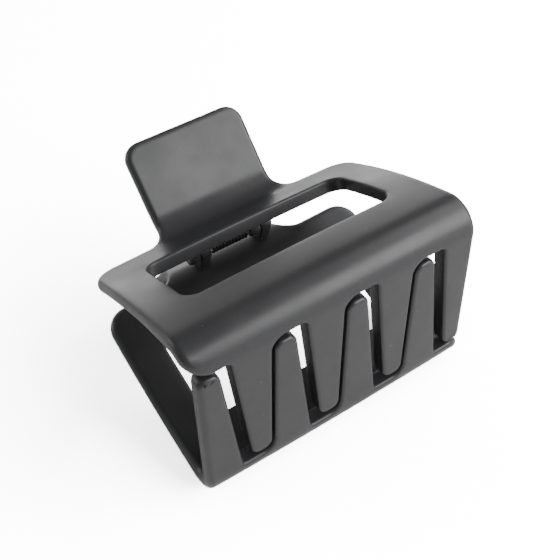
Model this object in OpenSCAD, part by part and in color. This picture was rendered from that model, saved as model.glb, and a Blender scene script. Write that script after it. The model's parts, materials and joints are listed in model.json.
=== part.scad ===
// Rectangular claw clip: two identical toothed jaws, a hinge pin and a torsion spring.
// Millimetres. +Z is up, the teeth face -Y, the thumb tabs face +Y and X runs along the jaws.
// The origin is on the table, under the middle of the closed clip.

/* [Jaw] */
// Length of a jaw along its row of teeth
jaw_l = 70.2; // [66:0.2:76]
// Wall thickness of the moulding
wall = 3.3; // [3:0.1:3.6]
// Distance from the plane of the teeth to the centre of the plate's round rear edge
plate_d = 43.9; // [43:0.1:44.5]
// Height of the sharp corner between plate and teeth, above the plane where the jaws meet
corner_z = 23.05; // [22.5:0.05:23.5]
// Height of the plate's rear edge above the same plane
rear_z = 7; // [6.8:0.1:7.2]
// Crown of the plate between the corner and the rear edge
crown = 1.65; // [1.2:0.05:2]
// Radius of the front bend, at mid wall
bend_r = 5; // [4:0.05:6]
// Radius of the plate's two rear corners
corner_r = 5.6; // [3:0.1:7]

/* [Window] */
// Length of the window along the jaw
window_l = 51.6; // [48:0.2:54]
// Front edge of the window, from the plane of the teeth
window_front = 14.4; // [13:0.2:16]
// Rear edge of the window, from the plane of the teeth
window_rear = 35.6; // [34:0.2:36]
// Radius of the window's corners
window_r = 3; // [1:0.1:4]

/* [Teeth] */
// Number of teeth on each jaw
tooth_count = 4; // [4]
// Width of a tooth where it leaves the jaw
tooth_root_w = 9.5; // [8:0.1:9.6]
// Width of a tooth at its round tip
tooth_tip_w = 5; // [3.6:0.1:5]
// How far the teeth reach past the plane where the jaws meet
tooth_reach = 15; // [12:0.1:15.5]
// How far the teeth sit off their even spacing, towards the jaw's toothed end
tooth_shift = 0.5; // [0:0.1:0.5]
// Radius in the corner of a gap that faces the jaw's toothed end
gap_tight_r = 0.9; // [0.5:0.1:1.5]
// Radius in the gap's other corner
gap_wide_r = 3.2; // [1:0.1:3.4]
// Radius of the jaw's toothless front corner
end_r = 5; // [2:0.1:5.5]

/* [Thumb tab] */
// Width of the tab
tab_w = 31.2; // [28:0.2:36]
// Angle of the tab above the plane where the jaws meet
tab_angle = 49.3; // [47:0.1:51]
// Distance from the plane of the teeth to the centre of the tab's round edge
tab_y = 62.7; // [61:0.1:64]
// Height of the centre of the tab's round edge
tab_z = 21.75; // [21:0.05:22.5]
// Radius of the valley between plate and tab, at mid wall
valley_r = 9; // [8.5:0.1:10]
// Radius of the tab's two corners
tab_r = 4.2; // [2:0.1:7]

/* [Hinge] */
// Distance from the plane of the teeth to the hinge axis
hinge_y = 45.35; // [45:0.05:45.8]
// Radius of the hinge pin
pin_r = 0.75; // [0.7:0.05:0.8]
// Radial running clearance between pin and knuckles
pin_gap = 0.05; // [0.02:0.01:0.1]
// Radius of the pin's head
pin_head_r = 1.3; // [1:0.1:1.8]
// Thickness of the pin's head
pin_head_t = 0.6; // [0.4:0.1:1]
// Radius of a hinge knuckle
knuckle_r = 2; // [1.8:0.1:2.2]
// Angle of a knuckle's neck, from the hinge up into the valley
neck_angle = 70; // [68:1:90]
// Length of a neck from the hinge axis into the wall
neck_l = 8; // [7.8:0.1:8.4]
// Length of a hinge knuckle along the pin
knuckle_w = 2.8; // [2.4:0.1:2.9]
// Distance from the middle of the clip to a jaw's outer knuckle
knuckle_out = 10; // [10:0.1:11]
// Distance from the middle of the clip to its inner knuckle, beside the other jaw's outer one
knuckle_in = 7; // [6.9:0.1:7]

/* [Spring] */
// Radius of the spring's coil, at the centre of its wire
coil_r = 1.3; // [1.25:0.05:1.35]
// Diameter of the spring wire
wire_d = 0.8; // [0.7:0.05:0.85]
// Distance between neighbouring turns
coil_pitch = 0.9; // [0.88:0.01:0.92]
// Whole turns in the coil, besides the part turn that sets the legs' angle
coil_turns = 10; // [8:1:10]
// Length of a leg from the coil to its tip
leg_l = 11; // [8:0.5:12]
// Angle of a leg above the plane where the jaws meet
leg_angle = 36; // [30:0.5:36.5]

/* [Hidden] */

$fn = 64;
half_wall = wall / 2;
eps = 0.01;

// Side profile of a jaw, in (y, z) from the plane of the teeth and the plane where the jaws meet.
// The plate is an arc from the sharp corner to the rear edge.
corner_point = [0, corner_z];
rear_point = [plate_d, rear_z];
chord = rear_point - corner_point;
plate_r = (chord * chord / 8 + crown * crown / 2) / crown;
chord_normal = [-chord.y, chord.x] / norm(chord);
plate_c = (corner_point + rear_point) / 2 - chord_normal * (plate_r - crown);

// The front bend touches the plane of the teeth and the inside of the plate's arc.
bend_c = [bend_r, plate_c.y + sqrt(pow(plate_r - bend_r, 2) - pow(bend_r - plate_c.x, 2))];
bend_end = direction(bend_c - plate_c);
gap_root_z = bend_c.y;

// The valley touches the outside of the plate's arc and the plane of the tab.
tab_tip = [tab_y, tab_z];
tab_dir = [cos(tab_angle), sin(tab_angle)];
tab_normal = [-sin(tab_angle), cos(tab_angle)];
tip_from_plate_c = tab_tip + tab_normal * valley_r - plate_c;
along_tab = tip_from_plate_c * tab_dir;
off_tab = tip_from_plate_c * tab_normal;
valley_c = plate_c + tab_normal * off_tab + tab_dir * sqrt(pow(plate_r + valley_r, 2) - off_tab * off_tab);
valley_start = direction(valley_c - plate_c);
rear_end = direction(rear_point - plate_c);

// Teeth alternate between the two jaws at half this pitch.
tooth_pitch = jaw_l / tooth_count;
upper_teeth = [for (i = [0:tooth_count - 1]) -jaw_l / 2 + tooth_pitch * (i + 0.75) + tooth_shift];
tip_r = tooth_tip_w / 2;

knuckle_x = [-knuckle_out, knuckle_in];
pin_l = 2 * knuckle_out + knuckle_w;

coil_sweep = coil_turns * 360 + 180 - 2 * leg_angle;
coil_l = coil_pitch * coil_sweep / 360;
steps_per_turn = 20;
wire_sides = 8;

// The tab's edge and the front bend stand level on the table.
stand_z = tab_z + half_wall;
depth_front = -half_wall;
depth_back = tab_y + half_wall;
origin_y = (depth_front + depth_back) / 2;

// Angle of a vector, in degrees.
function direction(v) = atan2(v.y, v.x);

// Points of an arc about c from angle a to angle b.
function arc(c, r, a, b, steps) =
    [for (i = [0:steps]) let (t = a + (b - a) * i / steps) c + r * [cos(t), sin(t)]];

function reversed(list) = [for (i = [len(list) - 1:-1:0]) list[i]];

// One face of the front bend and the plate, h outside the middle of the wall.
function plate_face(h) = concat(
    arc(bend_c, bend_r + h, 180, bend_end, 12),
    arc(plate_c, plate_r + h, bend_end, rear_end, 16));

// One face of the valley and the tab, h outside the middle of the wall.
function tab_face(h) = concat(
    arc(plate_c, plate_r + h, valley_start + 0.5, valley_start, 1),
    arc(valley_c, valley_r - h, valley_start - 180, tab_angle - 90, 12),
    [tab_tip + tab_normal * h]);

module profile(face_out, face_in, edge) {
    polygon(concat(face_out, reversed(face_in)));
    translate(edge) circle(half_wall);
}

// Extrudes a (y, z) profile along X, centred.
module along_x(length) {
    rotate([90, 0, 90]) linear_extrude(length, center = true) children();
}

// A square corner less its round, to be cut from an outer corner.
module corner_waste(r) {
    difference() {
        translate([-eps, -eps]) square(r + 3 * eps);
        circle(r);
    }
}

module window() {
    front = window_front + window_r;
    rear = window_rear - window_r;
    side = window_l / 2 - window_r;
    linear_extrude(2 * corner_z) {
        translate([-side, window_front]) square([2 * side, window_rear - window_front]);
        translate([-window_l / 2, front]) square([window_l, rear - front]);
        for (x = [-side, side], y = [front, rear]) translate([x, y]) circle(window_r);
    }
}

module plate() {
    difference() {
        along_x(jaw_l) profile(plate_face(half_wall), plate_face(-half_wall), rear_point);
        window();
        for (s = [-1, 1])
            translate([s * (jaw_l / 2 - corner_r), plate_d + half_wall - corner_r, -corner_z])
                mirror([s < 0 ? 1 : 0, 0, 0])
                    linear_extrude(3 * corner_z) corner_waste(corner_r);
        translate([end_r - jaw_l / 2, 0, gap_root_z + end_r]) rotate([90, 180, 0])
            linear_extrude(2 * bend_r, center = true) corner_waste(end_r);
    }
}

module tooth_2d(x) {
    tip_z = tip_r - tooth_reach;
    top = gap_root_z + eps;
    half_root = tooth_root_w / 2;
    outer = min(x + half_root, jaw_l / 2);
    translate([x, tip_z]) circle(tip_r);
    polygon([[x - half_root, top], [outer, top], [x + tip_r, tip_z], [x - tip_r, tip_z]]);
    for (side = [-1, 1])
        let (gap_r = side < 0 ? gap_tight_r : gap_wide_r)
            if (x + side * (half_root + gap_r) < jaw_l / 2) difference() {
                translate([x + side * (half_root - eps), gap_root_z - gap_r])
                    mirror([side < 0 ? 1 : 0, 0]) square([gap_r + eps, gap_r + eps]);
                translate([x + side * (half_root + gap_r), gap_root_z - gap_r]) circle(gap_r);
            }
}

module teeth() {
    rotate([90, 0, 0]) linear_extrude(wall, center = true)
        for (x = upper_teeth) tooth_2d(x);
}

module tab() {
    difference() {
        along_x(tab_w) profile(tab_face(half_wall), tab_face(-half_wall), tab_tip);
        translate([0, tab_y, tab_z]) rotate([tab_angle, 0, 0])
            for (s = [-1, 1])
                translate([s * (tab_w / 2 - tab_r), half_wall - tab_r, -wall])
                    mirror([s < 0 ? 1 : 0, 0, 0]) linear_extrude(2 * wall) corner_waste(tab_r);
    }
}

module knuckles() {
    for (x = knuckle_x) translate([x, 0, 0])
        along_x(knuckle_w) {
            translate([hinge_y, 0]) circle(knuckle_r);
            translate([hinge_y, 0]) rotate(neck_angle - 90)
                translate([-knuckle_r, 0]) square([2 * knuckle_r, neck_l]);
        }
}

module jaw() {
    color("dimgray") difference() {
        union() {
            plate();
            teeth();
            tab();
            knuckles();
        }
        translate([0, hinge_y, 0]) rotate([0, 90, 0])
            cylinder(h = jaw_l, r = pin_r + pin_gap, center = true);
    }
}

// Moves a part from its profile's planes to its place on the table.
module placed() {
    translate([0, -origin_y, stand_z]) children();
}

module upper_jaw() {
    placed() jaw();
}

module lower_jaw() {
    placed() rotate([0, 180, 0]) jaw();
}

module hinge_pin() {
    color("silver") placed() translate([-pin_l / 2, hinge_y, 0]) rotate([0, 90, 0]) {
        cylinder(h = pin_l + pin_head_t / 2, r = pin_r);
        translate([0, 0, pin_l]) cylinder(h = pin_head_t, r = pin_head_r);
    }
}

// Centre line of the spring, in (x, y, z) from the middle of the hinge axis.
leg_dir = [cos(leg_angle), sin(leg_angle)];
leg_start = coil_r * [-leg_dir.y, leg_dir.x];
coil_points = [
    for (i = [0:ceil(coil_sweep / 360 * steps_per_turn)])
        let (
            t = i / ceil(coil_sweep / 360 * steps_per_turn),
            angle = -(leg_angle + 90) - coil_sweep * t
        )
        [coil_l * (t - 0.5), coil_r * cos(angle), coil_r * sin(angle)]
];
upper_leg_tip = leg_start + leg_dir * leg_l;
spring_points = concat(
    [[-coil_l / 2, upper_leg_tip.x, -upper_leg_tip.y]],
    coil_points,
    [[coil_l / 2, upper_leg_tip.x, upper_leg_tip.y]]);

function unit(v) = v / norm(v);

// Ring of points round point i of a path.
function ring(path, i, r, sides) =
    let (
        ahead = path[min(i + 1, len(path) - 1)] - path[max(i - 1, 0)],
        side = unit(cross(ahead, [1, 0, 0])),
        up = unit(cross(ahead, side))
    )
    [for (k = [0:sides - 1]) let (a = 360 * k / sides) path[i] + r * (cos(a) * side + sin(a) * up)];

// Closed tube along a path, as one polyhedron.
module tube(path, r, sides) {
    rings = [for (i = [0:len(path) - 1]) each ring(path, i, r, sides)];
    walls = [
        for (i = [0:len(path) - 2], k = [0:sides - 1])
            let (n = (k + 1) % sides)
            [i * sides + k, i * sides + n, (i + 1) * sides + n, (i + 1) * sides + k]
    ];
    first_cap = [for (k = [sides - 1:-1:0]) k];
    last_cap = [for (k = [0:sides - 1]) (len(path) - 1) * sides + k];
    polyhedron(rings, concat(walls, [first_cap, last_cap]), convexity = 10);
}

module torsion_spring() {
    color("gray") placed() translate([0, hinge_y, 0]) tube(spring_points, wire_d / 2, wire_sides);
}

upper_jaw();
lower_jaw();
hinge_pin();
torsion_spring();
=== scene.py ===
"""Rectangular claw clip: the visible pieces, finishes and studio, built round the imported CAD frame.

Lengths of the pieces are millimetres, as in the part's own source, and meshes are metres in the row
frame. The two jaws are one moulding used twice: a flat sheet is cut to its outline, given its wall
and rounded edges, sliced, and then bent over the jaw's side profile.
"""

from __future__ import annotations

import json
import logging
import math
from dataclasses import dataclass
from enum import Enum
from typing import Sequence

import bpy
from mathutils import Matrix, Vector

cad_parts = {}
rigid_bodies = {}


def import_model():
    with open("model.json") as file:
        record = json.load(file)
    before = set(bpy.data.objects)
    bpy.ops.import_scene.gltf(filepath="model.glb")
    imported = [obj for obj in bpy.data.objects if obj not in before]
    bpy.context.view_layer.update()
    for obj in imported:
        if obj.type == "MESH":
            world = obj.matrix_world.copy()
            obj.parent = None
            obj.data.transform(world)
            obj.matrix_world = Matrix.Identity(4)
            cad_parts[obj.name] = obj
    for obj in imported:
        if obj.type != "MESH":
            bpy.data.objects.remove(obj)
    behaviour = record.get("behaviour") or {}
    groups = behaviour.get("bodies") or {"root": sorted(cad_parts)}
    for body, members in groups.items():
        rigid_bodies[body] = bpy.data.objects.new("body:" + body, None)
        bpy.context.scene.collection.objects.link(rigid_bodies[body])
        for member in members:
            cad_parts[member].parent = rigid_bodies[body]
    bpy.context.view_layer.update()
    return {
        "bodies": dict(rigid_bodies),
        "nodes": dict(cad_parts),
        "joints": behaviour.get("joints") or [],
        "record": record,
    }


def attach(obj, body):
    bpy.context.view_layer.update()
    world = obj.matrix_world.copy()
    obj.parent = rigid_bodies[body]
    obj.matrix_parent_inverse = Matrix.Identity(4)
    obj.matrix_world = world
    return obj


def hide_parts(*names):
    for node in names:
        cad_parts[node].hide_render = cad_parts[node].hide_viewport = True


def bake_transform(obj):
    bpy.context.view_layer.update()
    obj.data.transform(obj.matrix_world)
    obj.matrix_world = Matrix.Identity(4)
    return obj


MM = 0.001
TAU = 2 * math.pi
MERGE_M = 0.00002

log = logging.getLogger("claw_clip")

Point = tuple[float, float]


# ---------------------------------------------------------------------------------------------
# Small helpers for operators, meshes and node materials
# ---------------------------------------------------------------------------------------------


class Select(Enum):
    """The kind of element that edit mode works on."""

    VERTS = "VERT"
    EDGES = "EDGE"
    FACES = "FACE"


def deselect_everything() -> None:
    """Leaves edit mode and clears the selection, so that an operator meets only its own object."""
    if bpy.context.object and bpy.context.object.mode != "OBJECT":
        bpy.ops.object.mode_set(mode="OBJECT")
    bpy.ops.object.select_all(action="DESELECT")


def make_active(piece: bpy.types.Object) -> None:
    """Selects one object alone and makes it the active one."""
    deselect_everything()
    piece.select_set(True)
    bpy.context.view_layer.objects.active = piece


def edit(piece: bpy.types.Object, kind: Select, everything: bool) -> None:
    """Enters edit mode on a piece with all or none of it selected.

    Args:
        piece: the object to edit.
        kind: vertices, edges or faces.
        everything: True to start with the whole mesh selected.
    """
    make_active(piece)
    bpy.ops.object.mode_set(mode="EDIT")
    bpy.ops.mesh.select_mode(type=kind.value)
    bpy.ops.mesh.select_all(action="SELECT" if everything else "DESELECT")


def finish_edit() -> None:
    """Goes back to object mode."""
    bpy.ops.object.mode_set(mode="OBJECT")


def apply_modifier(piece: bpy.types.Object, name: str) -> None:
    """Applies one modifier of a piece."""
    make_active(piece)
    bpy.ops.object.modifier_apply(modifier=name)


def tidy_mesh(piece: bpy.types.Object) -> None:
    """Merges doubles and turns all normals outwards."""
    edit(piece, Select.VERTS, everything=True)
    bpy.ops.mesh.remove_doubles(threshold=MERGE_M)
    bpy.ops.mesh.normals_make_consistent(inside=False)
    finish_edit()


def settle(piece: bpy.types.Object) -> None:
    """Puts a piece's place into its mesh, so that its object sits at the origin."""
    make_active(piece)
    bpy.ops.object.transform_apply(location=True, rotation=True, scale=True)


def smooth(piece: bpy.types.Object, degrees: float) -> None:
    """Shades a piece smooth, with edges sharper than the angle kept crisp."""
    make_active(piece)
    bpy.ops.object.shade_smooth_by_angle(angle=math.radians(degrees))


def linear(hex_colour: str) -> tuple[float, float, float, float]:
    """Turns an sRGB hex colour into linear RGBA.

    Args:
        hex_colour: such as "#1c1c1e".

    Returns:
        The colour in linear light, with alpha 1.
    """
    channels = [int(hex_colour[i : i + 2], 16) / 255 for i in (1, 3, 5)]
    lin = [c / 12.92 if c <= 0.04045 else ((c + 0.055) / 1.055) ** 2.4 for c in channels]
    return (lin[0], lin[1], lin[2], 1.0)


def add_node(
    tree: bpy.types.NodeTree,
    kind: str,
    settings: dict[str, object] | None = None,
    inputs: dict[str | int, object] | None = None,
) -> bpy.types.Node:
    """Adds a node with its settings, values and links.

    Args:
        tree: the material's node tree.
        kind: the node's type name.
        settings: properties of the node itself.
        inputs: for each input socket, a value, or an output socket to link from.

    Returns:
        The new node.
    """
    node = tree.nodes.new(kind)
    for name, value in (settings or {}).items():
        setattr(node, name, value)
    for name, value in (inputs or {}).items():
        if isinstance(value, bpy.types.NodeSocket):
            tree.links.new(value, node.inputs[name])
        else:
            node.inputs[name].default_value = value
    return node


# ---------------------------------------------------------------------------------------------
# Finishes
# ---------------------------------------------------------------------------------------------


@dataclass(frozen=True)
class MouldedPlastic:
    """Matte injection-moulded plastic with a soft-touch lacquer.

    The mould's spark-eroded grain and the lacquer give a wide, soft highlight, a little cloudiness
    in the gloss, and a few pale specks of dust that cling to the surface.
    """

    name: str = "soft_touch_charcoal_plastic"
    colour: str = "#2b2b2d"
    dust_colour: str = "#6a6a6a"
    roughness: float = 0.38
    roughness_spread: float = 0.05
    grain_mm: float = 0.45
    grain_depth_mm: float = 0.008
    cloud_mm: float = 9.0
    dust_spacing_mm: float = 4.0
    dust_size_mm: float = 0.12

    def build(self) -> bpy.types.Material:
        """Returns the node material."""
        material = bpy.data.materials.new(self.name)
        material.use_nodes = True
        tree = material.node_tree
        shader = tree.nodes["Principled BSDF"]
        where = add_node(tree, "ShaderNodeTexCoord").outputs["Object"]
        self._wire_colour(tree, shader, where)
        self._wire_gloss(tree, shader, where)
        shader.inputs["IOR"].default_value = 1.5
        return material

    def _wire_colour(
        self, tree: bpy.types.NodeTree, shader: bpy.types.Node, where: bpy.types.NodeSocket
    ) -> None:
        """Wires the base colour: a flat pigment with sparse specks of dust."""
        cells = add_node(
            tree,
            "ShaderNodeTexVoronoi",
            {"feature": "F1"},
            {"Vector": where, "Scale": 1 / (self.dust_spacing_mm * MM), "Randomness": 1.0},
        )
        speck = add_node(
            tree,
            "ShaderNodeMath",
            {"operation": "LESS_THAN"},
            {0: cells.outputs["Distance"], 1: self.dust_size_mm / self.dust_spacing_mm},
        )
        mix = add_node(
            tree,
            "ShaderNodeMix",
            {"data_type": "RGBA"},
            {0: speck.outputs[0], 6: linear(self.colour), 7: linear(self.dust_colour)},
        )
        tree.links.new(mix.outputs[2], shader.inputs["Base Color"])

    def _wire_gloss(
        self, tree: bpy.types.NodeTree, shader: bpy.types.Node, where: bpy.types.NodeSocket
    ) -> None:
        """Wires the roughness clouds and the fine grain."""
        clouds = add_node(
            tree,
            "ShaderNodeTexNoise",
            {},
            {"Vector": where, "Scale": 1 / (self.cloud_mm * MM), "Detail": 3.0},
        )
        low, high = self.roughness - self.roughness_spread, self.roughness + self.roughness_spread
        gloss = add_node(
            tree,
            "ShaderNodeMapRange",
            {},
            {"Value": clouds.outputs[0], "From Min": 0.3, "From Max": 0.7, "To Min": low, "To Max": high},
        )
        tree.links.new(gloss.outputs[0], shader.inputs["Roughness"])
        grain = add_node(
            tree,
            "ShaderNodeTexNoise",
            {},
            {"Vector": where, "Scale": 1 / (self.grain_mm * MM), "Detail": 2.0, "Roughness": 0.6},
        )
        bump = add_node(
            tree,
            "ShaderNodeBump",
            {},
            {"Height": grain.outputs[0], "Strength": 1.0, "Distance": self.grain_depth_mm * MM},
        )
        tree.links.new(bump.outputs[0], shader.inputs["Normal"])


@dataclass(frozen=True)
class DrawnSteel:
    """Hard-drawn steel wire, with fine draw lines along its length.

    Drawing through a die leaves lengthwise streaks that spread the highlight across the wire.
    """

    name: str
    colour: str
    roughness: float
    streak_mm: float = 0.12
    streak_length_mm: float = 6.0
    streak_depth_mm: float = 0.004
    duller: float = 0.12
    brighter: float = 0.08

    def build(self) -> bpy.types.Material:
        """Returns the node material, whose streaks run along X as the pin and coil do."""
        material = bpy.data.materials.new(self.name)
        material.use_nodes = True
        tree = material.node_tree
        shader = tree.nodes["Principled BSDF"]
        where = add_node(tree, "ShaderNodeTexCoord").outputs["Object"]
        squeeze = add_node(
            tree,
            "ShaderNodeMapping",
            {},
            {"Vector": where, "Scale": (self.streak_mm / self.streak_length_mm, 1.0, 1.0)},
        )
        streaks = add_node(
            tree,
            "ShaderNodeTexNoise",
            {},
            {"Vector": squeeze.outputs[0], "Scale": 1 / (self.streak_mm * MM), "Detail": 3.0},
        )
        gloss = add_node(
            tree,
            "ShaderNodeMapRange",
            {},
            {
                "Value": streaks.outputs[0],
                "To Min": self.roughness - self.brighter,
                "To Max": self.roughness + self.duller,
            },
        )
        tree.links.new(gloss.outputs[0], shader.inputs["Roughness"])
        bump = add_node(
            tree,
            "ShaderNodeBump",
            {},
            {"Height": streaks.outputs[0], "Strength": 1.0, "Distance": self.streak_depth_mm * MM},
        )
        tree.links.new(bump.outputs[0], shader.inputs["Normal"])
        shader.inputs["Base Color"].default_value = linear(self.colour)
        shader.inputs["Metallic"].default_value = 1.0
        return material


# ---------------------------------------------------------------------------------------------
# The jaw
# ---------------------------------------------------------------------------------------------


@dataclass
class SideProfile:
    """The jaw's side view: plane of the teeth, front bend, crowned plate, valley and thumb tab.

    Positions are (y, z): y runs back from the plane of the teeth, and z up from the plane where the
    two jaws meet. A place on the moulding is x, s and h: s runs along the middle of the wall from
    the start of the front bend, negative down a tooth, and h is the height above that middle.

    front_thick is the share by which the inner half of the wall grows at the teeth and front bend,
    and front_fade the length of plate over which the growth dies out.
    """

    wall: float = 3.3
    corner_z: float = 23.05
    plate_d: float = 43.9
    rear_z: float = 7.0
    crown: float = 1.65
    bend_r: float = 5.0
    tab_angle: float = 49.3
    tab_y: float = 62.7
    tab_z: float = 21.75
    valley_r: float = 9.0
    jaw_l: float = 70.2
    bow: float = 0.6
    tab_w: float = 31.2
    root_fillet: float = 5.0
    front_thick: float = 0.45
    front_fade: float = 14.0

    def __post_init__(self) -> None:
        """Works out the arcs' centres and where each stretch starts."""
        corner, rear = Vector((0.0, self.corner_z)), Vector((self.plate_d, self.rear_z))
        chord = rear - corner
        self.plate_r = (chord.length_squared / 8 + self.crown**2 / 2) / self.crown
        chord_normal = Vector((-chord.y, chord.x)).normalized()
        self.plate_c = (corner + rear) / 2 - chord_normal * (self.plate_r - self.crown)
        across = self.bend_r - self.plate_c.x
        up = math.sqrt((self.plate_r - self.bend_r) ** 2 - across**2)
        self.bend_c = Vector((self.bend_r, self.plate_c.y + up))
        self.root_z = self.bend_c.y
        self.tab_dir = self._turned(math.radians(self.tab_angle))
        self.tab_normal = Vector((-self.tab_dir.y, self.tab_dir.x))
        self.tab_tip = Vector((self.tab_y, self.tab_z))
        from_c = self.tab_tip + self.tab_normal * self.valley_r - self.plate_c
        off = from_c.dot(self.tab_normal)
        along = math.sqrt((self.plate_r + self.valley_r) ** 2 - off**2)
        self.valley_c = self.plate_c + self.tab_normal * off + self.tab_dir * along
        self.bend_end = self._angle(self.bend_c - self.plate_c)
        self.valley_start = self._angle(self.valley_c - self.plate_c)
        rear_angle = self._angle(rear - self.plate_c)
        self.s_plate = self.bend_r * (math.pi - self.bend_end)
        self.s_valley = self.s_plate + self.plate_r * (self.bend_end - self.valley_start)
        self.s_rear = self.s_plate + self.plate_r * (self.bend_end - rear_angle)
        valley_turn = math.radians(self.tab_angle) + math.pi / 2 - self.valley_start
        self.s_tab = self.s_valley + self.valley_r * valley_turn
        self.tab_start = self.valley_c - self.tab_normal * self.valley_r
        self.s_tip = self.s_tab + (self.tab_tip - self.tab_start).length

    @staticmethod
    def _turned(angle: float) -> Vector:
        """Returns the unit vector at an angle."""
        return Vector((math.cos(angle), math.sin(angle)))

    @staticmethod
    def _angle(v: Vector) -> float:
        """Returns the angle of a vector."""
        return math.atan2(v.y, v.x)

    def s_at(self, y: float) -> float:
        """Returns the length along the plate's wall at which the plate is y behind the teeth."""
        angle = math.acos((y - self.plate_c.x) / self.plate_r)
        return self.s_plate + self.plate_r * (self.bend_end - angle)

    def on_plate(self, s: float, h: float) -> Vector:
        """Returns the (y, z) of a place on the teeth, front bend or plate."""
        if s < 0:
            return Vector((-h, self.root_z + s))
        if s < self.s_plate:
            turn = math.pi - s / self.bend_r
            return self.bend_c + self._turned(turn) * (self.bend_r + h)
        turn = self.bend_end - (s - self.s_plate) / self.plate_r
        return self.plate_c + self._turned(turn) * (self.plate_r + h)

    def on_tab(self, s: float, h: float) -> Vector:
        """Returns the (y, z) of a place on the stretch that turns up into the thumb tab."""
        if s < self.s_valley:
            return self.on_plate(s, h)
        if s < self.s_tab:
            turn = self.valley_start - math.pi + (s - self.s_valley) / self.valley_r
            return self.valley_c + self._turned(turn) * (self.valley_r - h)
        return self.tab_start + self.tab_dir * (s - self.s_tab) + self.tab_normal * h

    def place(self, x: float, s: float, h: float) -> Vector:
        """Returns the (x, y, z) of a place on the moulding.

        The wall thickens inwards towards the front bend and the teeth, the rear edge beside the tab
        lifts into the tab over the width of the root fillet, and the whole plate is bowed, so that
        its middle stands higher than its ends.
        """
        if h < 0:
            h *= 1 + self.front_thick * (1 - _ease((s - self.s_plate) / self.front_fade))
        beside = (abs(x) - self.tab_w / 2) / self.root_fillet
        share = 1 - _ease(beside)
        point = self.on_tab(s, h) * share + self.on_plate(s, h) * (1 - share)
        fade = 1 - _ease((s - self.s_valley) / (self.s_tip - self.s_valley))
        drop = self.bow * (2 * x / self.jaw_l) ** 2 * fade
        return Vector((x, point.x, point.y - drop))


def _ease(t: float) -> float:
    """Returns a smooth step from 0 to 1 as t goes from 0 to 1."""
    t = min(1.0, max(0.0, t))
    return t * t * (3 - 2 * t)


@dataclass
class Corner:
    """A corner of the flat outline, at x and s, rounded to radius r."""

    x: float
    s: float
    r: float = 0.0


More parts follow.
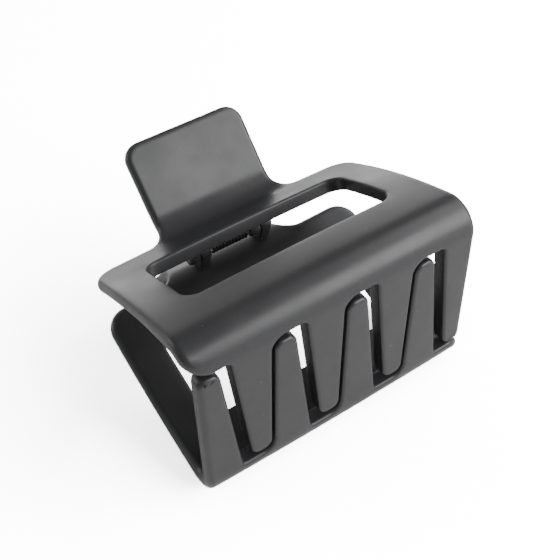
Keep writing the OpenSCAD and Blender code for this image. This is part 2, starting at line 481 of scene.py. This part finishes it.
@dataclass
class Jaw:
    """One jaw: plate with its window, four tapered teeth, thumb tab and two hinge knuckles."""

    profile: SideProfile
    rim_r: float = 1.5
    rim_steps: int = 6
    tooth_rim: float = 0.5
    tab_rim: float = 0.8
    window_rim: float = 0.4
    window_l: float = 51.6
    window_front: float = 14.45
    window_rear: float = 35.65
    window_r: float = 3.6
    corner_r: float = 5.6
    end_r: float = 5.0
    tooth_count: int = 4
    tooth_shift: float = 0.5
    tooth_root_w: float = 9.5
    tooth_tip_w: float = 5.0
    tooth_tip_r: float = 2.1
    tooth_reach: float = 15.0
    gap_tight_r: float = 0.9
    gap_wide_r: float = 3.2
    shoulder_r: float = 40.0
    tab_r: float = 4.2
    knuckle_r: float = 2.0
    knuckle_w: float = 2.8
    knuckle_out: float = 10.0
    knuckle_in: float = 7.0
    neck_angle: float = 70.0
    neck_l: float = 8.0
    knuckle_edge: float = 0.35
    bore_r: float = 0.8
    hinge_y: float = 45.35
    fine_cut: float = 0.7
    wide_cut: float = 1.75
    root_cuts: int = 5
    arc_step: float = 7.5
    crisp_above: float = 35.0

    def build(self, name: str) -> bpy.types.Object:
        """Models the upper jaw in its own planes: teeth plane at y 0, meeting plane at z 0.

        Args:
            name: the object's name.

        Returns:
            The finished piece.
        """
        piece = self._flat_sheet(name)
        self._thicken(piece)
        self._round_edges(piece)
        self._slice(piece)
        self._bend(piece)
        self._add_knuckles(piece)
        smooth(piece, self.crisp_above)
        return piece

    # The flat outline -------------------------------------------------------------------------

    def tooth_centres(self) -> list[float]:
        """Returns the x of each tooth of the upper jaw."""
        pitch = self.profile.jaw_l / self.tooth_count
        first = -self.profile.jaw_l / 2 + self.tooth_shift
        return [first + pitch * (i + 0.75) for i in range(self.tooth_count)]

    def _tooth(self, x: float) -> list[Corner]:
        """Returns a tooth's corners, from its left root to its right root."""
        root, tip = self.tooth_root_w / 2, self.tooth_tip_w / 2
        tip_s = -(self.tooth_reach + self.profile.root_z)
        corners = [
            Corner(x - root, 0, self.gap_tight_r),
            Corner(x - tip, tip_s, self.tooth_tip_r),
            Corner(x + tip, tip_s, self.tooth_tip_r),
        ]
        end = self.profile.jaw_l / 2
        if x + root < end:
            corners.append(Corner(x + root, 0, self.gap_wide_r))
        else:
            corners.append(Corner(end, 0, self.shoulder_r))
        return corners

    def _half_outline(self, side: int) -> list[Corner]:
        """Returns the corners of one half of the sheet, as a closed loop.

        The halves meet along two seams, so that the window needs no face with a hole in it: one in
        the middle of the tab, and one from the window to the gap beside the second tooth.

        Args:
            side: -1 for the left half and 1 for the right.

        Returns:
            The loop's corners, in order.
        """
        p = self.profile
        end, tab = p.jaw_l / 2, p.tab_w / 2
        edge = p.s_rear + p.wall / 2
        top = p.s_tip + p.wall / 2
        front, rear = p.s_at(self.window_front), p.s_at(self.window_rear)
        hole = self.window_l / 2
        teeth = self.tooth_centres()
        seam = (teeth[1] + teeth[2]) / 2
        back = [
            Corner(0, rear),
            Corner(0, top),
            Corner(side * tab, top, self.tab_r),
            Corner(side * tab, edge, p.root_fillet),
            Corner(side * end, edge, self.corner_r),
        ]
        window = [
            Corner(seam, 0),
            Corner(seam, front),
            Corner(side * hole, front, self.window_r),
            Corner(side * hole, rear, self.window_r),
        ]
        if side < 0:
            row = [Corner(-end, 0, self.end_r)] + self._tooth(teeth[0]) + self._tooth(teeth[1])
        else:
            row = (self._tooth(teeth[2]) + self._tooth(teeth[3]))[::-1]
        return back + row + window

    def _rounded(self, corners: list[Corner]) -> list[Point]:
        """Returns an outline's points, with each rounded corner as an arc."""
        points: list[Point] = []
        count = len(corners)
        for i, corner in enumerate(corners):
            here = Vector((corner.x, corner.s))
            if not corner.r:
                points.append((here.x, here.y))
                continue
            before, after = corners[i - 1], corners[(i + 1) % count]
            a = (Vector((before.x, before.s)) - here).normalized()
            b = (Vector((after.x, after.s)) - here).normalized()
            half = math.acos(max(-1.0, min(1.0, a.dot(b)))) / 2
            centre = here + (a + b).normalized() * (corner.r / math.sin(half))
            start = here + a * (corner.r / math.tan(half)) - centre
            stop = here + b * (corner.r / math.tan(half)) - centre
            turn = math.copysign(math.pi - 2 * half, start.cross(stop))
            steps = max(2, round(math.degrees(abs(turn)) / self.arc_step))
            for k in range(steps + 1):
                c, s = math.cos(turn * k / steps), math.sin(turn * k / steps)
                points.append((centre.x + start.x * c - start.y * s, centre.y + start.x * s + start.y * c))
        return points

    def _flat_sheet(self, name: str) -> bpy.types.Object:
        """Lays the two halves of the outline flat and joins them along their seams."""
        halves = []
        for side in (-1, 1):
            points = self._rounded(self._half_outline(side))
            deselect_everything()
            bpy.ops.mesh.primitive_circle_add(vertices=len(points), radius=1, fill_type="NGON")
            half = bpy.context.object
            for vertex, (x, s) in zip(half.data.vertices, points):
                vertex.co = (x * MM, s * MM, 0)
            halves.append(half)
        deselect_everything()
        for half in halves:
            half.select_set(True)
        bpy.context.view_layer.objects.active = halves[0]
        bpy.ops.object.join()
        sheet = bpy.context.object
        sheet.name = name
        tidy_mesh(sheet)
        return sheet

    # Wall, edges and slices -------------------------------------------------------------------

    def _thicken(self, piece: bpy.types.Object) -> None:
        """Gives the flat sheet its wall, half on each side."""
        solidify = piece.modifiers.new("wall", "SOLIDIFY")
        solidify.thickness = self.profile.wall * MM
        solidify.offset = 0
        solidify.use_even_offset = True
        apply_modifier(piece, "wall")
        tidy_mesh(piece)

    def _rim_share(self, x: float, s: float) -> float:
        """Returns the rim's rounding at a place on the outline.

        Args:
            x: the place across the jaw.
            s: the place along its wall.

        Returns:
            The rounding, as a share of the end rim's.
        """
        p = self.profile
        hole = self.window_l / 2 + 0.01
        if abs(x) < hole and p.s_at(self.window_front) - 0.01 < s < p.s_at(self.window_rear) + 0.01:
            return self.window_rim
        if s > p.s_rear:
            beside = (abs(x) - p.tab_w / 2) / p.root_fillet
            return self.tab_rim + (1 - self.tab_rim) * _ease(beside)
        if s > p.s_plate:
            return 1.0
        inside = (p.jaw_l / 2 - abs(x)) / self.end_r
        return self.tooth_rim + (1 - self.tooth_rim) * (1 - _ease(inside))

    def _round_edges(self, piece: bpy.types.Object) -> None:
        """Rounds both outlines of the slab: fully at the ends, less on tab, teeth and window."""
        mesh = piece.data
        flat = [abs(face.normal.z) > 0.5 for face in mesh.polygons]
        users: dict[tuple[int, int], list[int]] = {}
        for face in mesh.polygons:
            for key in face.edge_keys:
                users.setdefault(key, []).append(face.index)
        weights = mesh.attributes.new("bevel_weight_edge", "FLOAT", "EDGE")
        for edge in mesh.edges:
            faces = users.get(edge.key, [])
            if len(faces) == 2 and flat[faces[0]] != flat[faces[1]]:
                middle = sum((mesh.vertices[i].co for i in edge.vertices), Vector()) / 2 / MM
                weights.data[edge.index].value = self._rim_share(middle.x, middle.y)
        rim = piece.modifiers.new("rim", "BEVEL")
        rim.limit_method = "WEIGHT"
        rim.width = self.rim_r * MM
        rim.segments = self.rim_steps
        rim.use_clamp_overlap = False
        rim.loop_slide = False
        apply_modifier(piece, "rim")

    def _cuts(self) -> tuple[list[float], list[float]]:
        """Returns the x and the s of every slice: close together where the wall bends."""
        p = self.profile
        ends = p.jaw_l / 2
        count = round(p.jaw_l / self.wide_cut)
        across = [-ends + p.jaw_l * i / count for i in range(1, count)]
        steps = [p.tab_w / 2 + p.root_fillet * i / self.root_cuts for i in range(self.root_cuts + 1)]
        across += [side * step for side in (-1, 1) for step in steps]
        along: list[float] = []
        stretches = [
            (-(self.tooth_reach + p.root_z), 0.0, self.wide_cut),
            (0.0, p.s_plate, self.fine_cut),
            (p.s_plate, p.s_valley, self.wide_cut),
            (p.s_valley, p.s_tab, self.fine_cut),
            (p.s_tab, p.s_tip + p.wall / 2, self.wide_cut),
        ]
        for start, stop, step in stretches:
            pieces = max(1, round((stop - start) / step))
            along += [start + (stop - start) * i / pieces for i in range(pieces)]
        return sorted(across), along[1:]

    def _slice(self, piece: bpy.types.Object) -> None:
        """Cuts the slab into a fine grid, so that it bends smoothly."""
        across, along = self._cuts()
        edit(piece, Select.FACES, everything=True)
        for normal, places in (((1, 0, 0), across), ((0, 1, 0), along)):
            for place in places:
                point = [place * MM * n for n in normal]
                bpy.ops.mesh.select_all(action="SELECT")
                bpy.ops.mesh.bisect(plane_co=point, plane_no=normal)
        bpy.ops.mesh.select_all(action="SELECT")
        bpy.ops.mesh.remove_doubles(threshold=MERGE_M)
        finish_edit()

    def _bend(self, piece: bpy.types.Object) -> None:
        """Bends the flat slab over the side profile."""
        for vertex in piece.data.vertices:
            x, s, h = (c / MM for c in vertex.co)
            vertex.co = self.profile.place(x, s, h) * MM
        piece.data.update()

    # Knuckles ---------------------------------------------------------------------------------

    def _knuckle(self, x: float) -> bpy.types.Object:
        """Models one hinge knuckle, with its neck sunk into the plate and a clear bore."""
        turned = (0, math.pi / 2, 0)
        deselect_everything()
        bpy.ops.mesh.primitive_cylinder_add(
            vertices=64,
            radius=self.knuckle_r * MM,
            depth=self.knuckle_w * MM,
            location=(x * MM, self.hinge_y * MM, 0),
            rotation=turned,
        )
        barrel = bpy.context.object
        settle(barrel)
        self._pull_up_neck(barrel)
        edge = barrel.modifiers.new("edge", "BEVEL")
        edge.width = self.knuckle_edge * MM
        edge.segments = 3
        edge.limit_method = "ANGLE"
        edge.angle_limit = math.radians(40)
        apply_modifier(barrel, "edge")
        deselect_everything()
        bpy.ops.mesh.primitive_cylinder_add(
            vertices=48,
            radius=self.bore_r * MM,
            depth=3 * self.knuckle_w * MM,
            location=(x * MM, self.hinge_y * MM, 0),
            rotation=turned,
        )
        drill = bpy.context.object
        settle(drill)
        bore = barrel.modifiers.new("bore", "BOOLEAN")
        bore.operation = "DIFFERENCE"
        bore.solver = "EXACT"
        bore.object = drill
        apply_modifier(barrel, "bore")
        bpy.data.objects.remove(drill)
        return barrel

    def _pull_up_neck(self, barrel: bpy.types.Object) -> None:
        """Turns the upper half of a barrel into a square neck that leans back into the wall."""
        for vertex in barrel.data.vertices:
            _, y, z = (c / MM for c in vertex.co)
            if z > 1e-4:
                across = y - self.hinge_y
                steep = max(abs(across), z)
                vertex.co.y = (self.hinge_y + across * self.knuckle_r / steep) * MM
                vertex.co.z = min(1.0, z / max(abs(across), 1e-6)) * self.neck_l * MM
        lean = Matrix.Rotation(math.radians(self.neck_angle - 90), 4, "X")
        axis = Matrix.Translation((0, self.hinge_y * MM, 0))
        barrel.data.transform(axis @ lean @ axis.inverted())

    def _add_knuckles(self, piece: bpy.types.Object) -> None:
        """Moulds the two knuckles onto the plate."""
        for x in (-self.knuckle_out, self.knuckle_in):
            knuckle = self._knuckle(x)
            union = piece.modifiers.new("knuckle", "BOOLEAN")
            union.operation = "UNION"
            union.solver = "EXACT"
            union.object = knuckle
            apply_modifier(piece, "knuckle")
            bpy.data.objects.remove(knuckle)


# ---------------------------------------------------------------------------------------------
# Pin and spring
# ---------------------------------------------------------------------------------------------


@dataclass
class HingePin:
    """The steel pin: a straight shank with a flat head at one end and a chamfer at the other."""

    radius: float = 0.75
    length: float = 22.8
    head_r: float = 1.3
    head_t: float = 0.6
    chamfer: float = 0.15

    def build(self, name: str, hinge: Vector) -> bpy.types.Object:
        """Models the pin on the hinge axis.

        Args:
            name: the object's name.
            hinge: a point on the hinge axis, in metres.

        Returns:
            The finished piece.
        """
        deselect_everything()
        bpy.ops.mesh.primitive_cylinder_add(
            vertices=64,
            radius=self.radius * MM,
            depth=self.length * MM,
            location=hinge,
            rotation=(0, math.pi / 2, 0),
        )
        pin = bpy.context.object
        pin.name = name
        settle(pin)
        edit(pin, Select.FACES, everything=False)
        finish_edit()
        for face in pin.data.polygons:
            face.select = face.center.x > (hinge.x + self.length / 2 * MM) - 1e-6
        bpy.ops.object.mode_set(mode="EDIT")
        grow = self.head_r / self.radius
        bpy.ops.mesh.extrude_region_move()
        bpy.ops.transform.resize(value=(1, grow, grow), center_override=self._end(hinge))
        bpy.ops.mesh.extrude_region_move(TRANSFORM_OT_translate={"value": (self.head_t * MM, 0, 0)})
        finish_edit()
        chamfer = pin.modifiers.new("chamfer", "BEVEL")
        chamfer.width = self.chamfer * MM
        chamfer.segments = 3
        chamfer.limit_method = "ANGLE"
        chamfer.angle_limit = math.radians(50)
        apply_modifier(pin, "chamfer")
        tidy_mesh(pin)
        smooth(pin, 30)
        return pin

    def _end(self, hinge: Vector) -> tuple[float, float, float]:
        """Returns the middle of the pin's headed end."""
        return (hinge.x + self.length / 2 * MM, hinge.y, hinge.z)


@dataclass
class TorsionSpring:
    """The spring: a close coil of wire round the pin, with a straight leg under each tab."""

    coil_r: float = 1.3
    wire_d: float = 0.8
    pitch: float = 0.9
    turns: int = 10
    leg_l: float = 11.0
    leg_angle: float = 36.0
    leg_steps: int = 6
    steps_per_turn: int = 48
    wire_sides: int = 20

    def sweep(self) -> float:
        """Returns the angle that the coil turns through, in radians."""
        return self.turns * TAU + math.pi - 2 * math.radians(self.leg_angle)

    def coil_l(self) -> float:
        """Returns the coil's length along the pin, between its wire's ends."""
        return self.pitch * self.sweep() / TAU

    def build(self, name: str, hinge: Vector) -> bpy.types.Object:
        """Models the spring round the hinge axis.

        A ring of wire is screwed round the axis, and each end is then pulled out into its leg.

        Args:
            name: the object's name.
            hinge: a point on the hinge axis, in metres.

        Returns:
            The finished piece.
        """
        lean = math.radians(self.leg_angle) + math.pi / 2
        start = Vector((0, math.cos(lean), -math.sin(lean))) * self.coil_r * MM
        deselect_everything()
        bpy.ops.mesh.primitive_circle_add(
            vertices=self.wire_sides, radius=self.wire_d / 2 * MM, fill_type="NOTHING"
        )
        spring = bpy.context.object
        spring.name = name
        leg = Vector((0, math.cos(lean - math.pi / 2), math.sin(lean - math.pi / 2)))
        low_leg = Vector((0, leg.y, -leg.z))
        turn = low_leg.to_track_quat("Z", "X").to_matrix().to_4x4()
        spring.data.transform(Matrix.Translation(start) @ turn)
        screw = spring.modifiers.new("coil", "SCREW")
        screw.axis = "X"
        screw.angle = -self.sweep()
        screw.screw_offset = self.coil_l() * MM
        screw.steps = round(self.sweep() / TAU * self.steps_per_turn)
        screw.render_steps = screw.steps
        screw.use_merge_vertices = False
        apply_modifier(spring, "coil")
        spring.data.transform(Matrix.Translation((-self.coil_l() / 2 * MM, 0, 0)))
        ends = ((-self.coil_l() / 2 * MM, low_leg), (self.coil_l() / 2 * MM, leg))
        for end_x, direction in ends:
            self._pull_leg(spring, end_x, direction)
        spring.data.transform(Matrix.Translation(hinge))
        tidy_mesh(spring)
        smooth(spring, 40)
        return spring

    def _pull_leg(self, spring: bpy.types.Object, end_x: float, direction: Vector) -> None:
        """Extrudes the open ring at one end of the coil into a leg with a rounded tip."""
        edit(spring, Select.EDGES, everything=False)
        bpy.ops.mesh.select_non_manifold(extend=False)
        finish_edit()
        verts = spring.data.vertices
        near = [abs(v.co.x - end_x) < self.wire_d * 0.55 * MM for v in verts]
        for e in spring.data.edges:
            e.select = e.select and near[e.vertices[0]] and near[e.vertices[1]]
        bpy.ops.object.mode_set(mode="EDIT")
        tip = self.wire_d * 0.2
        for _ in range(self.leg_steps):
            move = direction * (self.leg_l - tip) / self.leg_steps * MM
            bpy.ops.mesh.extrude_region_move(TRANSFORM_OT_translate={"value": move})
        bpy.ops.mesh.extrude_region_move(TRANSFORM_OT_translate={"value": direction * tip * MM})
        bpy.ops.transform.resize(value=(0.6, 0.6, 0.6))
        bpy.ops.mesh.edge_face_add()
        finish_edit()


# ---------------------------------------------------------------------------------------------
# The clip
# ---------------------------------------------------------------------------------------------


class ClawClip:
    """The whole clip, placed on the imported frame."""

    def __init__(self, frame: dict) -> None:
        """Reads the hinge and the plane of the teeth from the frame."""
        self.jaw = Jaw(SideProfile())
        self.hinge = Vector(frame["joints"][0]["pos_m"])
        teeth_y = self.hinge.y - self.jaw.hinge_y * MM
        self.home = Vector((0, teeth_y, self.hinge.z))

    def build(self) -> None:
        """Builds and dresses every piece, and hangs the jaws and the pin on their bodies."""
        plastic = MouldedPlastic().build()
        upper = self.jaw.build("upper_jaw_moulding")
        lower = self._twin(upper, "lower_jaw_moulding")
        for piece in (upper, lower):
            piece.data.transform(Matrix.Translation(self.home))
        self._hang(upper, plastic, "upper", "upper_jaw")
        self._hang(lower, plastic, "lower", "lower_jaw")
        pin_steel = DrawnSteel("bright_drawn_steel", "#b4b4b2", 0.3).build()
        pin = HingePin().build("hinge_pin_steel", self.hinge)
        self._hang(pin, pin_steel, "lower", "hinge_pin")
        wire = DrawnSteel("dark_spring_wire", "#3c3c3e", 0.45).build()
        maker = TorsionSpring()
        spring = maker.build("torsion_spring_wire", self.hinge)
        self._dress(spring, wire)
        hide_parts("torsion_spring")
        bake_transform(spring)
        log.info("torsion spring: %d faces", len(spring.data.polygons))

    @staticmethod
    def _twin(piece: bpy.types.Object, name: str) -> bpy.types.Object:
        """Copies the moulding, turned over about the Y axis, with its own mesh."""
        twin = piece.copy()
        twin.data = piece.data.copy()
        twin.name = name
        bpy.context.scene.collection.objects.link(twin)
        twin.data.transform(Matrix.Rotation(math.pi, 4, "Y"))
        return twin

    @staticmethod
    def _dress(piece: bpy.types.Object, material: bpy.types.Material) -> None:
        """Gives a piece its only material."""
        piece.data.materials.clear()
        piece.data.materials.append(material)

    def _hang(
        self, piece: bpy.types.Object, material: bpy.types.Material, body: str, node: str
    ) -> None:
        """Dresses a piece, lets it stand for its CAD node and rides it on its body."""
        self._dress(piece, material)
        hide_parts(node)
        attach(piece, body)
        log.info("%s: %d faces", piece.name, len(piece.data.polygons))


# ---------------------------------------------------------------------------------------------
# Studio
# ---------------------------------------------------------------------------------------------


@dataclass(frozen=True)
class SoftBox:
    """A rectangular studio light, aimed at the clip: degrees, metres and watts."""

    name: str
    azimuth: float
    elevation: float
    distance: float
    width: float
    height: float
    power: float

    def build(self, target: Vector) -> None:
        """Hangs the light. Azimuth 0 is in front of the teeth, 90 to the clip's right."""
        az, el = math.radians(self.azimuth), math.radians(self.elevation)
        away = Vector((math.sin(az) * math.cos(el), -math.cos(az) * math.cos(el), math.sin(el)))
        data = bpy.data.lights.new(self.name, "AREA")
        data.shape = "RECTANGLE"
        data.size, data.size_y = self.width, self.height
        data.energy = self.power
        lamp = bpy.data.objects.new(self.name, data)
        lamp.location = target + away * self.distance
        lamp.rotation_euler = (-away).to_track_quat("-Z", "Y").to_euler()
        bpy.context.scene.collection.objects.link(lamp)


@dataclass
class Studio:
    """A white sweep of paper under soft light, and the camera.

    camera_place is in millimetres from the hinge. lift and gleam are how many times brighter the
    paper looks to the camera, and in reflections, than it lights the clip.
    """

    hinge: Vector
    camera_place: tuple[float, float, float] = (-73.756, -147.568, 147.593)
    camera_forward: tuple[float, float, float] = (0.36237, 0.61112, -0.70372)
    camera_right: tuple[float, float, float] = (0.82954, -0.55569, -0.05541)
    lens_mm: float = 58.616
    sensor_mm: float = 36.0
    floor_m: float = 4.0
    paper: str = "#f4f4f4"
    lift: float = 14.5
    gleam: float = 1.2
    sky: float = 0.35
    aim_z: float = 0.02
    fibre_mm: float = 1.1111

    def build(self) -> None:
        """Builds the floor, lights, sky and camera."""
        self._floor()
        for light in self.lights():
            light.build(Vector((0, 0, self.aim_z)))
        self._sky()
        self._camera()

    @staticmethod
    def lights() -> list[SoftBox]:
        """Returns the lights: a broad key in front on the right, and weaker fills round the clip."""
        return [
            SoftBox("front_right", 42, 29, 1.0, 0.9, 0.7, 14.3),
            SoftBox("right", 90, 45, 1.0, 0.5, 0.5, 3.0),
            SoftBox("left_rear", 228, 20, 1.0, 0.5, 0.4, 2.0),
            SoftBox("rear_low", 157, 3.5, 0.8, 1.1, 0.12, 2.7),
        ]

    def _floor(self) -> None:
        """Lays the paper, seen by the camera, and mirrored, brighter than it lights the clip."""
        deselect_everything()
        bpy.ops.mesh.primitive_plane_add(size=self.floor_m, location=(0, 0, 0))
        floor = bpy.context.object
        floor.name = "paper_sweep"
        material = bpy.data.materials.new("white_paper")
        material.use_nodes = True
        tree = material.node_tree
        tree.nodes.remove(tree.nodes["Principled BSDF"])
        where = add_node(tree, "ShaderNodeTexCoord").outputs["Object"]
        fibre = add_node(
            tree,
            "ShaderNodeTexNoise",
            {},
            {"Vector": where, "Scale": 1 / (self.fibre_mm * MM), "Detail": 3.0},
        )
        bump = add_node(
            tree, "ShaderNodeBump", {}, {"Height": fibre.outputs[0], "Strength": 0.1, "Distance": 0.0001}
        )
        ray = add_node(tree, "ShaderNodeLightPath")
        seen = add_node(
            tree,
            "ShaderNodeMath",
            {"operation": "MULTIPLY_ADD"},
            {0: ray.outputs["Is Camera Ray"], 1: self.lift - 1, 2: 1.0},
        )
        mirrored = add_node(
            tree,
            "ShaderNodeMath",
            {"operation": "MULTIPLY_ADD"},
            {0: ray.outputs["Is Glossy Ray"], 1: self.gleam - 1, 2: seen.outputs[0]},
        )
        paint = add_node(
            tree,
            "ShaderNodeVectorMath",
            {"operation": "SCALE"},
            {0: linear(self.paper)[:3], "Scale": mirrored.outputs[0]},
        )
        matte = add_node(
            tree, "ShaderNodeBsdfDiffuse", {}, {"Color": paint.outputs[0], "Normal": bump.outputs[0]}
        )
        tree.links.new(matte.outputs[0], tree.nodes["Material Output"].inputs["Surface"])
        floor.data.materials.append(material)

    def _sky(self) -> None:
        """Lights the scene evenly from all round, and looks as white as the paper."""
        world = bpy.data.worlds.new("studio")
        world.use_nodes = True
        tree = world.node_tree
        ray = add_node(tree, "ShaderNodeLightPath")
        seen = add_node(
            tree,
            "ShaderNodeMath",
            {"operation": "MULTIPLY_ADD"},
            {0: ray.outputs["Is Camera Ray"], 1: self.lift, 2: self.sky},
        )
        background = tree.nodes["Background"]
        background.inputs["Color"].default_value = (1, 1, 1, 1)
        tree.links.new(seen.outputs[0], background.inputs["Strength"])
        bpy.context.scene.world = world

    def _camera(self) -> None:
        """Places the camera, which leans a little to one side."""
        forward = Vector(self.camera_forward).normalized()
        right = Vector(self.camera_right).normalized()
        up = right.cross(forward)
        turn = Matrix((right, up, -forward)).transposed()
        data = bpy.data.cameras.new("camera")
        data.sensor_width = self.sensor_mm
        data.lens = self.lens_mm
        data.clip_start = 0.005
        camera = bpy.data.objects.new("camera", data)
        camera.location = self.hinge + Vector(self.camera_place) * MM
        camera.rotation_euler = turn.to_euler()
        bpy.context.scene.collection.objects.link(camera)
        bpy.context.scene.camera = camera


def main() -> None:
    """Loads the frame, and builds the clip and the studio."""
    logging.basicConfig(level=logging.INFO, format="%(name)s: %(message)s")
    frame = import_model()
    clip = ClawClip(frame)
    Studio(clip.hinge).build()
    clip.build()


if __name__ == "__main__":
    main()
